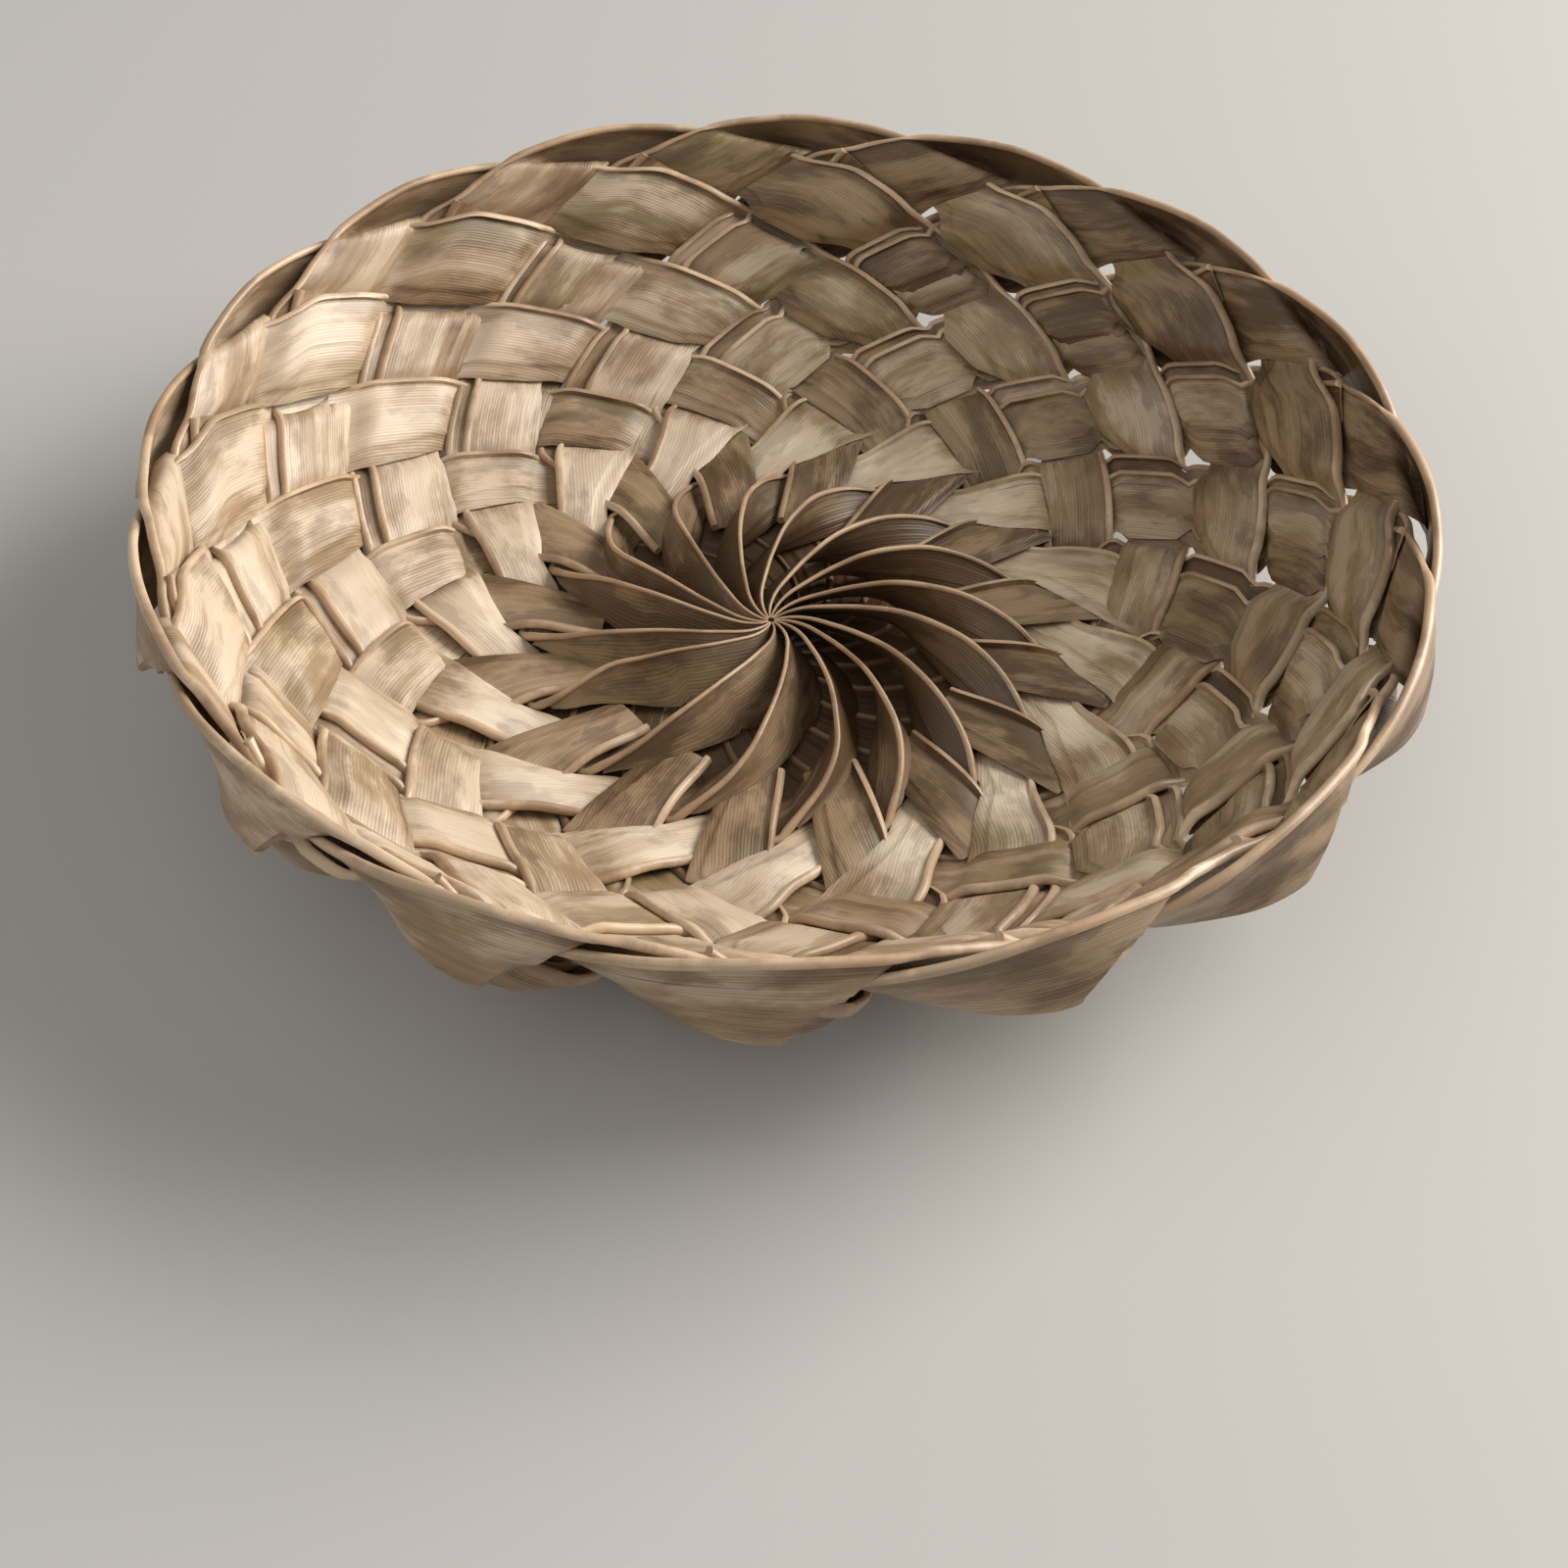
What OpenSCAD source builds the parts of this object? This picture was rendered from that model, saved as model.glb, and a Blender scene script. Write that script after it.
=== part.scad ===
// Winnowing basket plaited from folded palm leaves, in millimetres, +Z up.
// The origin is on the floor, under the middle of the bowl.
// Turns are degrees about +Z, anticlockwise seen from above, from the -Y side.
// Sixteen rim leaves and sixteen fin leaves cross each other in rings. Ring 0 is the rim.
// A leaf runs outward, at a constant x, or inward, at a constant y. The ring is then -(x + y).

/* [Bowl] */
// Radius at the rim
rim_radius = 141; // [128:1:156]
// Height of the rim above the floor
rim_height = 63.5; // [54:0.5:72]
// Slope of the wall at the rim, in degrees
wall_angle = 75; // [68:1:80]

/* [Leaves] */
// Thickness of a leaf's blade
blade_thickness = 0.9; // [0.7:0.05:1]
// Free space between two leaves that cross
leaf_gap = 0.4; // [0.35:0.05:0.6]
// Width of the rib along one edge of a leaf
rib_width = 2; // [1.6:0.1:2.4]
// Height of the rib over the blade, on the side where it is free
rib_swell = 0.8; // [0.4:0.1:1]

/* [Weave] */
// Turn of an outward strip from one ring to the next, in degrees
outward_turn = 9.2; // [8.8:0.1:9.6]
// Share of the wall's length from one ring to the next, at the rim
ring_share = 0.0821; // [0.081:0.0005:0.083]
// Share of its lattice step that an inward strip covers
inward_share = 0.92; // [0.84:0.02:0.92]

/* [Fins] */
// Height of a fin's rib above the floor, at its highest
fin_height = 15.6; // [13:0.2:20]
// Radius of the hole between the fins' tips
tip_radius = 4.6; // [4.2:0.1:6]

/* [Rim] */
// Distance that a flap stands off the wall
flap_flare = 13; // [11:0.5:15]

/* [Hidden] */
leaf_count = 16;
leaf_turn = 360 / leaf_count;
// Turn of leaf 1
first_turn = 2.84;
// Distance between the mid surfaces of two leaves that cross
lift = blade_thickness + leaf_gap;
half = blade_thickness / 2;
// Height of the middle layer over the flat base
base_mid = lift + half + rib_swell;
wall_radius = (rim_height - base_mid) / (1 - cos(wall_angle));
base_radius = rim_radius - wall_radius * sin(wall_angle);
wall_length = base_radius + wall_radius * wall_angle * PI / 180;
rim_share = 1.0116;
ring_ease_share = 0.00082;
// Edges of a crossing, across an outward pair of leaves: free side, rib side
cross_free_share = 0.47;
cross_rib_share = 0.43;
// Half of an inward strip, in lattice steps
inward_half_share = inward_share / 2;

// Distance along the wall from the middle of the base to a ring
function ring_at(ring) = wall_length * (rim_share - ring_share * ring + ring_ease_share * ring * ring);

// Point of the bowl at a turn and a distance along the wall, raised by h to the inside
function bowl(turn, along, h) =
    let (slope = max(0, (along - base_radius) / wall_radius * 180 / PI))
    let (r = min(along, base_radius) + (wall_radius - h) * sin(slope))
    [r * sin(turn), -r * cos(turn), base_mid + wall_radius * (1 - cos(slope)) + h * cos(slope)];

// Point of the bowl at a ring, in layers above the middle one
function on_ring(turn, ring, layer) = bowl(turn, ring_at(ring), layer * lift);

// Point of the bowl at a place of the lattice
function knot(x, y, layer) = on_ring(leaf_turn * x - outward_turn * (x + y), -(x + y), layer);

// The two lattice lines on either side of v: a crossing runs from free_side to rib_side
function seat(v, free_side, rib_side) =
    let (k = floor(v + free_side))
    v - k <= rib_side ? [k - free_side, k + rib_side] : [k + rib_side, k + 1 - free_side];

// Point of the woven surface, which is straight across each crossing
function woven(x, y, layer) =
    let (p = seat(x, cross_free_share, cross_rib_share))
    let (q = seat(y, inward_half_share, inward_half_share))
    let (fx = (x - p[0]) / (p[1] - p[0]))
    let (fy = (y - q[0]) / (q[1] - q[0]))
    (1 - fx) * (1 - fy) * knot(p[0], q[0], layer) + fx * (1 - fy) * knot(p[1], q[0], layer)
    + (1 - fx) * fy * knot(p[0], q[1], layer) + fx * fy * knot(p[1], q[1], layer);

// Stations of a leaf are [point on the rib, point on the free edge, height of the rib above the
// blade, height below it, and the same below for the rib's foot]
function outward(y, rib, free, layer, above, below) =
    [woven(rib, y, layer), woven(free, y, layer), above, below, 0];
function inward(x, layer, above, below, foot) =
    [woven(x, inward_half_share, layer), woven(x, -inward_half_share, layer), above, below, foot];
function ringed(rib_turn, rib_ring, rib_layer, free_turn, free_ring, free_layer, above, below) =
    [on_ring(rib_turn, rib_ring, rib_layer), on_ring(free_turn, free_ring, free_layer),
     above, below, 0];

// ---- Rim leaf -------------------------------------------------------------------------------

rim_rib_share = 0.42;
rim_free_share = -0.36;
turn_swell = rib_swell * 0.6;

// Station of the rim turn: turn, ring and stand-off, for the rib and then for the free edge
function over_rim(rib_turn, rib_ring, rib_off, free_turn, free_ring, free_off) =
    [bowl(rib_turn, ring_at(rib_ring), -rib_off * flap_flare),
     bowl(free_turn, ring_at(free_ring), -free_off * flap_flare), turn_swell, turn_swell, 0];

// Radial face around the fins, from its inner end to where it goes under the kite
radial_face = [
    ringed(68.1, 10.2, 1, 50.8, 10.2, 1, rib_swell, 0),
    ringed(65.0, 8.4, 1, 50.8, 7.5, 1, rib_swell, 0),
    ringed(64.8, 8.1, 0, 51.0, 7.1, 0, 0, 0),
    ringed(65.2, 7.1, 0, 52.4, 7.05, 0, 0, 0),
    outward(-7 + inward_half_share, rim_rib_share, -0.46, 0, 0, 0)
];

// Lower layer of the doubled strip: under the inward strips at even rings, over them at odd rings
lower_strip = [
    for (ring = [6:-1:2], side = [-1, 1])
        outward(side * inward_half_share - ring, rim_rib_share, rim_free_share, ring % 2 - 1,
            ring % 2 == 1 ? rib_swell : 0, ring % 2 == 1 ? 0 : rib_swell)
];

// The rib climbs to the rim arc, and the blade rolls over the next leaf's rib and hangs outside
rim_turn = [
    outward(-1 - inward_half_share, rim_rib_share, rim_free_share, 0, turn_swell, turn_swell),
    over_rim(14.6, 0.70, 0.00, 3.4, 1.24, 0.00),
    over_rim(12.4, 0.57, 0.00, 0.9, 1.02, 0.00),
    over_rim(10.6, 0.48, 0.01, -0.8, 0.90, 0.02),
    over_rim(9.2, 0.42, 0.02, -1.7, 0.82, 0.30),
    over_rim(8.0, 0.37, 0.03, -1.9, 0.85, 0.62),
    over_rim(6.4, 0.32, 0.035, -1.2, 1.24, 0.98),
    over_rim(3.4, 0.26, 0.05, -2.6, 1.32, 1.00),
    over_rim(-0.2, 0.21, 0.09, -5.3, 1.36, 0.94),
    over_rim(-4.0, 0.20, 0.14, -8.0, 1.45, 0.80),
    over_rim(-7.6, 0.26, 0.19, -10.2, 1.56, 0.64),
    over_rim(-11.0, 0.345, 0.24, -12.0, 1.69, 0.50),
    over_rim(-14.2, 0.45, 0.26, -13.4, 1.81, 0.39),
    over_rim(-17.4, 0.59, 0.26, -14.5, 1.89, 0.30),
    over_rim(-20.6, 0.77, 0.21, -15.1, 1.93, 0.22)
];

// Single strip that runs back inward: outside at ring 1, over at even rings, under at odd rings.
// Its rib is flat underneath where the basket stands on it.
inward_strip = concat(
    [inward(-1 - cross_free_share, -1, turn_swell, turn_swell, 0)],
    [
        for (ring = [2:6], side = [cross_rib_share, -cross_free_share])
            inward(side - ring, 1 - 2 * (ring % 2),
                ring % 2 == 1 ? 0 : rib_swell, ring % 2 == 1 ? rib_swell : 0, 0)
    ],
    [inward(-7 + cross_rib_share, -1, 0, rib_swell, 0)],
    [for (x = [-7.5, -8.3, -9.2, -10.1, -11.1, -12.0]) inward(x, -1, 0, rib_swell, rib_swell)]
);

// ---- Fin leaf -------------------------------------------------------------------------------

fin_rib_share = 0.3;
fin_free_share = -0.46;
fin_root = ring_at(8.25);
fin_swell = rib_swell * 0.6;

// Station of a fin: turn, share of the way out and share of the way up, for rib and free edge
function upright(rib_turn, rib_out, rib_up, free_turn, free_out, free_up) =
    [place(rib_turn, rib_out, rib_up), place(free_turn, free_out, free_up),
     fin_swell, fin_swell, 0];
function place(turn, out, up) =
    let (r = tip_radius + out * (fin_root - tip_radius))
    [r * sin(turn), -r * cos(turn), base_mid + up * (fin_height - base_mid)];

// The strip stands on its free edge, and its rib curves out from the pinwheel's middle
fin = [
    upright(143.0, 0.000, 0.66, 166.0, 0.034, 0.40),
    upright(132.0, 0.050, 0.73, 157.0, 0.099, 0.33),
    upright(122.0, 0.132, 0.82, 146.0, 0.189, 0.28),
    upright(114.0, 0.254, 0.92, 133.0, 0.294, 0.25),
    upright(108.5, 0.392, 1.00, 122.0, 0.392, 0.24),
    upright(104.5, 0.522, 0.95, 113.0, 0.473, 0.24),
    upright(100.5, 0.668, 0.79, 103.0, 0.546, 0.24),
    upright(96.5, 0.790, 0.54, 95.6, 0.620, 0.24),
    upright(92.8, 0.880, 0.32, 92.4, 0.660, 0.15),
    upright(90.0, 0.940, 0.12, 91.0, 0.720, 0.02)
];

// Dip under the next radial face, then the kite over the leaf's own one
dip_and_kite = [
    ringed(88.3, 8.4, 0, 89.6, 9.5, 0, 0, 0),
    ringed(86.0, 8.38, 0, 84.5, 9.4, 0, 0, 0),
    ringed(83.0, 8.2, 0, 79.0, 9.2, 0, 0, 0),
    ringed(77.0, 7.8, 0, 71.5, 8.75, 0, 0, 0),
    ringed(72.6, 7.5, 0.1, 66.6, 8.15, 1.1, 0, 0),
    ringed(68.5, 7.1, 1.05, 61.5, 7.75, 1.1, fin_swell, 0),
    outward(-7 + inward_half_share, 0.2, -0.44, 1, rib_swell, 0)
];

// Upper layer of the doubled strip, then the cut end that lies on the rim leaf's face
upper_strip = concat(
    [
        for (ring = [6:-1:2], side = [-1, 1])
            outward(side * inward_half_share - ring, fin_rib_share, fin_free_share, ring % 2,
                ring % 2 == 1 ? rib_swell : 0, 0)
    ],
    [
        outward(-1 - inward_half_share, fin_rib_share, -0.2, 1, rib_swell, 0),
        outward(-1.3, fin_rib_share, -0.08, 1, rib_swell, 0)
    ]
);

// ---- Leaf from stations ---------------------------------------------------------------------

// Unit vector square to the leaf, at the rib (side 0) or at the free edge (side 1)
function square_to(s, k, side) =
    let (ahead = s[min(k + 1, len(s) - 1)][side] - s[max(k - 1, 0)][side])
    let (n = cross(s[k][1] - s[k][0], ahead))
    n / norm(n);

// Six corners of the section at a station: rib, foot of the rib and free edge, above and below
function section(s, k) =
    let (rib = s[k][0])
    let (free = s[k][1])
    let (foot = rib + (free - rib) * rib_width / norm(free - rib))
    let (at_rib = square_to(s, k, 0))
    let (at_free = square_to(s, k, 1))
    [rib + at_rib * (half + s[k][2]), foot + at_rib * half, free + at_free * half,
     free - at_free * half, foot - at_rib * (half + s[k][4]), rib - at_rib * (half + s[k][3])];

// Two triangles between neighbouring corners of two stations, split one way or the other
function patch(a, b, c, d, split) = split ? [[c, b, a], [d, c, a]] : [[d, b, a], [d, c, b]];

// Closed skin through all stations. The splits are mirrored at the station "middle", so that
// two leaves that cross are split along the same line.
module leaf(stations, middle) {
    corners = 6;
    last = len(stations) - 1;
    points = [for (k = [0:last]) each section(stations, k)];
    sides = [
        for (k = [0:last - 1], j = [0:corners - 1])
            let (n = (j + 1) % corners)
            let (split = (k < middle) == (j < corners / 2))
            each patch(k * corners + j, k * corners + n,
                (k + 1) * corners + n, (k + 1) * corners + j, split)
    ];
    ends = concat(
        patch(5, 4, 1, 0, true), patch(4, 3, 2, 1, true),
        patch(last * corners, last * corners + 1, last * corners + 4, last * corners + 5, true),
        patch(last * corners + 1, last * corners + 2, last * corners + 3, last * corners + 4, true)
    );
    polyhedron(points, concat(sides, ends), convexity = 8);
}

module rim_leaf(number) {
    color([0.66, 0.55, 0.38])
    rotate(first_turn + (number - 1) * leaf_turn)
    leaf(concat(radial_face, lower_strip, rim_turn, inward_strip),
        len(radial_face) + len(lower_strip));
}

module fin_leaf(number) {
    color([0.58, 0.47, 0.31])
    rotate(first_turn + (number - 1) * leaf_turn)
    leaf(concat(fin, dip_and_kite, upper_strip),
        len(fin) + len(dip_and_kite) + len(upper_strip));
}

module fin_leaf_01() { fin_leaf(1); }
module fin_leaf_02() { fin_leaf(2); }
module fin_leaf_03() { fin_leaf(3); }
module fin_leaf_04() { fin_leaf(4); }
module fin_leaf_05() { fin_leaf(5); }
module fin_leaf_06() { fin_leaf(6); }
module fin_leaf_07() { fin_leaf(7); }
module fin_leaf_08() { fin_leaf(8); }
module fin_leaf_09() { fin_leaf(9); }
module fin_leaf_10() { fin_leaf(10); }
module fin_leaf_11() { fin_leaf(11); }
module fin_leaf_12() { fin_leaf(12); }
module fin_leaf_13() { fin_leaf(13); }
module fin_leaf_14() { fin_leaf(14); }
module fin_leaf_15() { fin_leaf(15); }
module fin_leaf_16() { fin_leaf(16); }
module rim_leaf_01() { rim_leaf(1); }
module rim_leaf_02() { rim_leaf(2); }
module rim_leaf_03() { rim_leaf(3); }
module rim_leaf_04() { rim_leaf(4); }
module rim_leaf_05() { rim_leaf(5); }
module rim_leaf_06() { rim_leaf(6); }
module rim_leaf_07() { rim_leaf(7); }
module rim_leaf_08() { rim_leaf(8); }
module rim_leaf_09() { rim_leaf(9); }
module rim_leaf_10() { rim_leaf(10); }
module rim_leaf_11() { rim_leaf(11); }
module rim_leaf_12() { rim_leaf(12); }
module rim_leaf_13() { rim_leaf(13); }
module rim_leaf_14() { rim_leaf(14); }
module rim_leaf_15() { rim_leaf(15); }
module rim_leaf_16() { rim_leaf(16); }

fin_leaf_01();
fin_leaf_02();
fin_leaf_03();
fin_leaf_04();
fin_leaf_05();
fin_leaf_06();
fin_leaf_07();
fin_leaf_08();
fin_leaf_09();
fin_leaf_10();
fin_leaf_11();
fin_leaf_12();
fin_leaf_13();
fin_leaf_14();
fin_leaf_15();
fin_leaf_16();
rim_leaf_01();
rim_leaf_02();
rim_leaf_03();
rim_leaf_04();
rim_leaf_05();
rim_leaf_06();
rim_leaf_07();
rim_leaf_08();
rim_leaf_09();
rim_leaf_10();
rim_leaf_11();
rim_leaf_12();
rim_leaf_13();
rim_leaf_14();
rim_leaf_15();
rim_leaf_16();
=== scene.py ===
import logging
import math
import random
from dataclasses import dataclass, field
from enum import Enum
from typing import Optional, Union

import bmesh
import bpy
import numpy as np
from mathutils import Matrix, Vector, noise


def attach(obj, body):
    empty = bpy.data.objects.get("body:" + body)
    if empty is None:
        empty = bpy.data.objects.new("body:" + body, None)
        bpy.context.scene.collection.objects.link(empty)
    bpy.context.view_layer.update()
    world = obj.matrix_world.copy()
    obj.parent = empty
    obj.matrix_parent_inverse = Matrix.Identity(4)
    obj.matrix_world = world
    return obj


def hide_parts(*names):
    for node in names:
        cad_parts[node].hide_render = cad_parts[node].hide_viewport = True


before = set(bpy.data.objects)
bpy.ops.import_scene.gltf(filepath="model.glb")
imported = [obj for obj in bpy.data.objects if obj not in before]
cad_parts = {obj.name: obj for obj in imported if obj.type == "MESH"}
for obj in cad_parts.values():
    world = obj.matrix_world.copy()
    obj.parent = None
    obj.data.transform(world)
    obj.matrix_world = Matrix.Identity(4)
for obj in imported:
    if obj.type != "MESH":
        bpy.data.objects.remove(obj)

log = logging.getLogger("winnowing_basket")

MM = 0.001
LEAVES = 16
PITCH = 360.0 / LEAVES
FIRST_TURN = 2.84
Row = list[float]
Triple = tuple[float, float, float]
Colour = tuple[float, float, float, float]
Feed = Union[float, Colour, bpy.types.NodeSocket]


# ---- The bowl and its lattice ---------------------------------------------------------------


@dataclass(frozen=True)
class Bowl:
    """The form that the leaves follow, in millimetres: a flat base and a wall that curls up.

    A place on it is a turn in degrees, a distance along the wall from the middle of the base,
    and a height towards the inside.
    """

    rim_radius: float = 141.0
    rim_height: float = 63.5
    wall_angle: float = 75.0
    lift: float = 1.3
    base_mid: float = 2.55
    outward_turn: float = 9.2
    ring_share: float = 0.0821
    rim_share: float = 1.0116
    ring_ease: float = 0.00082

    @property
    def wall_radius(self) -> float:
        """Radius of the wall's curl."""
        return (self.rim_height - self.base_mid) / (1 - math.cos(math.radians(self.wall_angle)))

    @property
    def base_radius(self) -> float:
        """Radius of the flat base."""
        return self.rim_radius - self.wall_radius * math.sin(math.radians(self.wall_angle))

    def ring_at(self, ring: float) -> float:
        """Distance along the wall to a ring of the weave, where ring 0 is the rim."""
        length = self.base_radius + self.wall_radius * math.radians(self.wall_angle)
        return length * (self.rim_share - self.ring_share * ring + self.ring_ease * ring * ring)

    def on_ring(self, turn: float, ring: float, layer: float) -> Row:
        """Place at a turn and a ring, in layers above the middle one."""
        return [turn, self.ring_at(ring), layer * self.lift]

    def knot(self, x: float, y: float, layer: float) -> Row:
        """Place on the lattice of outward strips (x) and inward strips (y)."""
        return self.on_ring(PITCH * x - self.outward_turn * (x + y), -(x + y), layer)

    def points(self, places: np.ndarray) -> np.ndarray:
        """Turns places on the bowl into points.

        Args:
            places: rows of turn, distance along the wall and height.

        Returns:
            Rows of x, y and z in millimetres.
        """
        turn, along, height = np.radians(places[:, 0]), places[:, 1], places[:, 2]
        slope = np.maximum(0.0, (along - self.base_radius) / self.wall_radius)
        r = np.minimum(along, self.base_radius) + (self.wall_radius - height) * np.sin(slope)
        z = self.base_mid + self.wall_radius * (1 - np.cos(slope)) + height * np.cos(slope)
        return np.stack([r * np.sin(turn), -r * np.cos(turn), z], 1)


def ease(t: float) -> float:
    """Smooth step from 0 to 1."""
    t = min(1.0, max(0.0, t))
    return t * t * (3 - 2 * t)


def wave(v: float, split: float, half_width: float) -> float:
    """Goes between -1 and 1 from one crossing to the next: 1 where the whole number is odd.

    Args:
        v: place along the strip, in lattice steps.
        split: share of a step after the middle of a crossing at which the strip changes layer.
        half_width: half the stretch over which it changes.

    Returns:
        The strip's side at that place, from -1 to 1.
    """
    cell = math.floor(v + 1 - split)
    side = 1.0 if cell % 2 else -1.0
    past = v - (cell - 1 + split)
    before = (cell + split) - v
    near = min(past, before)
    return side * ease(0.5 + 0.5 * near / half_width) * 2 - side


# ---- Leaves ---------------------------------------------------------------------------------


@dataclass
class Station:
    """A line across a leaf, from its rib to its free edge.

    rib and free are places on the bowl. side says on which face the rib stands out, from -1 to
    1, puff how far the blade bulges to the inside in millimetres, tone how light it is, and slim
    how thin the rib and the blade are. foot is where the under fold ends, if it gapes.
    """

    rib: Row
    free: Row
    side: float = 0.0
    puff: float = 0.0
    tone: float = 0.5
    slim: float = 1.0
    foot: Optional[Row] = None

    def numbers(self) -> Row:
        """The station as one row."""
        foot = self.foot or self.free
        return [*self.rib, *self.free, *foot, self.side, self.puff, self.tone, self.slim]


class LeafKind(Enum):
    """The two leaves that the basket is plaited from, by the name of their CAD nodes."""

    RIM = "rim_leaf"
    FIN = "fin_leaf"


class Wander(Enum):
    """The slow wanders of a leaf, each with its own channel of noise."""

    OUTWARD_RIB = 1
    OUTWARD_FREE = 2
    OUTWARD_TONE = 3
    INWARD_RIB = 4
    INWARD_FREE = 5
    INWARD_TONE = 6
    MARGIN = 8


class Stretch(Enum):
    """The stretches of a leaf's section, in their order round it."""

    RIB = "rib"
    TOP = "top"
    MARGIN = "margin"
    EDGE = "edge"
    UNDER = "under"


def smooth_rows(knots: np.ndarray, lengths: np.ndarray, spacing: float) -> np.ndarray:
    """Runs a smooth curve through rows of numbers and reads it at an even spacing.

    Args:
        knots: the rows to run through.
        lengths: distance of each row from the first, in millimetres.
        spacing: distance between the rows that come back.

    Returns:
        The new rows.
    """
    h = np.diff(lengths)[:, None]
    slope = np.diff(knots, axis=0) / h
    mid = (h[1:] * slope[:-1] + h[:-1] * slope[1:]) / (h[1:] + h[:-1])
    cap = 3 * np.minimum(np.abs(slope[:-1]), np.abs(slope[1:]))
    same = slope[:-1] * slope[1:] > 0
    mid = np.where(same, np.clip(mid, -cap, cap), mid)
    tangent = np.vstack([slope[:1], mid, slope[-1:]])
    count = max(2, round(lengths[-1] / spacing))
    at = np.linspace(0, lengths[-1], count + 1)
    k = np.clip(np.searchsorted(lengths, at, side="right") - 1, 0, len(h) - 1)
    t = ((at - lengths[k]) / h[k, 0])[:, None]
    a, b, step = knots[k], knots[k + 1], h[k]
    t2, t3 = t * t, t * t * t
    return ((2 * t3 - 3 * t2 + 1) * a + (t3 - 2 * t2 + t) * step * tangent[k]
            + (3 * t2 - 2 * t3) * b + (t3 - t2) * step * tangent[k + 1])


@dataclass
class Section:
    """The measures of a leaf's section at each of its rows, in millimetres."""

    width: np.ndarray
    margin: np.ndarray
    bead: np.ndarray
    blade: np.ndarray
    rise: np.ndarray
    step: np.ndarray


@dataclass
class Profile:
    """The section of a folded leaf: a round rib, the blade, and the margin of its under fold.

    The rib is an arc of the section, from rib_start through rib_sweep in degrees. The margin is
    the strip along the free edge where only the under fold shows, a step below the blade.
    """

    rib_radius: float = 1.12
    rib_rise: float = 0.62
    rib_start: float = -58.0
    rib_sweep: float = -244.0
    rib_reach: float = 1.8
    blade: float = 0.50
    step: float = 0.14
    margin: float = 4.0
    margin_sway: float = 2.0
    margin_share: float = 0.3
    edge_inset: float = 0.2
    pleat_depth: float = 0.16
    pleats: int = 40
    top_columns: int = 17
    under_columns: int = 7
    ribbed: int = 8

    def columns(self) -> list[tuple[Stretch, float]]:
        """Names the columns of the skin.

        Returns:
            The stretch of each column, and its share of the way through that stretch.
        """
        out = [(Stretch.RIB, k / (self.ribbed - 1)) for k in range(self.ribbed)]
        out += [(Stretch.TOP, k / (self.top_columns - 1)) for k in range(self.top_columns)]
        out += [(Stretch.MARGIN, 0.0), (Stretch.MARGIN, 0.45), (Stretch.MARGIN, 0.93)]
        out += [(Stretch.EDGE, 0.0)]
        out += [(Stretch.UNDER, k / (self.under_columns - 1)) for k in range(self.under_columns)]
        return out + [out[0]]

    def section(self, width: np.ndarray, margin: np.ndarray, side: np.ndarray,
                slim: np.ndarray) -> Section:
        """Sizes the section at each row.

        Args:
            width: the leaf's width.
            margin: the margin's width, where the leaf is wide enough for it.
            side: the face on which the rib stands out, from -1 to 1.
            slim: how thin the rib and the blade are.

        Returns:
            The section's measures.
        """
        return Section(width, np.minimum(margin, width * self.margin_share),
                       self.rib_radius * slim, self.blade * slim, slim * side * self.rib_rise,
                       self.step * slim)

    def place(self, stretch: Stretch, share: float, at: Section) -> tuple[np.ndarray, np.ndarray]:
        """Places a column of the skin.

        Args:
            stretch: the stretch of the section that the column belongs to.
            share: its share of the way through that stretch.
            at: the section's measures.

        Returns:
            Its distance from the rib's line and its height over the leaf's middle, at each row.
        """
        beside = self.rib_reach * at.bead
        if stretch is Stretch.RIB:
            angle = math.radians(self.rib_start + self.rib_sweep * share)
            return at.bead * (1.05 + math.cos(angle)), at.rise + at.bead * math.sin(angle)
        if stretch is Stretch.TOP:
            return beside + (at.width - at.margin - beside) * share, at.blade / 2
        if stretch is Stretch.MARGIN:
            return at.width - (at.margin - 0.12) * (1 - share), at.blade / 2 - at.step
        if stretch is Stretch.EDGE:
            return at.width, -at.blade * 0.2
        inset = at.width - self.edge_inset
        return inset - (inset - beside) * share, -at.blade / 2

    def gape(self, share: float, rib: np.ndarray, across: np.ndarray, free: np.ndarray,
             foot: np.ndarray, at: Section) -> np.ndarray:
        """Opens the under fold where its foot stands away from the free edge.

        Args:
            share: the column's share of the way through the underside.
            rib: points of the rib's line.
            across: directions from the rib to the free edge.
            free: points of the free edge.
            foot: points at which the under fold ends.
            at: the section's measures.

        Returns:
            How far the column moves, as a vector at each row.
        """
        first = 1 / (self.under_columns - 1)
        corner = rib + across * self.place(Stretch.UNDER, first, at)[0][:, None]
        reach = (1 - share) / (1 - first) if share > 0 else 0.0
        apart = np.linalg.norm(foot - free, axis=1, keepdims=True)
        return (foot - corner) * reach * np.clip(apart / 1.5, 0, 1)


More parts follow.
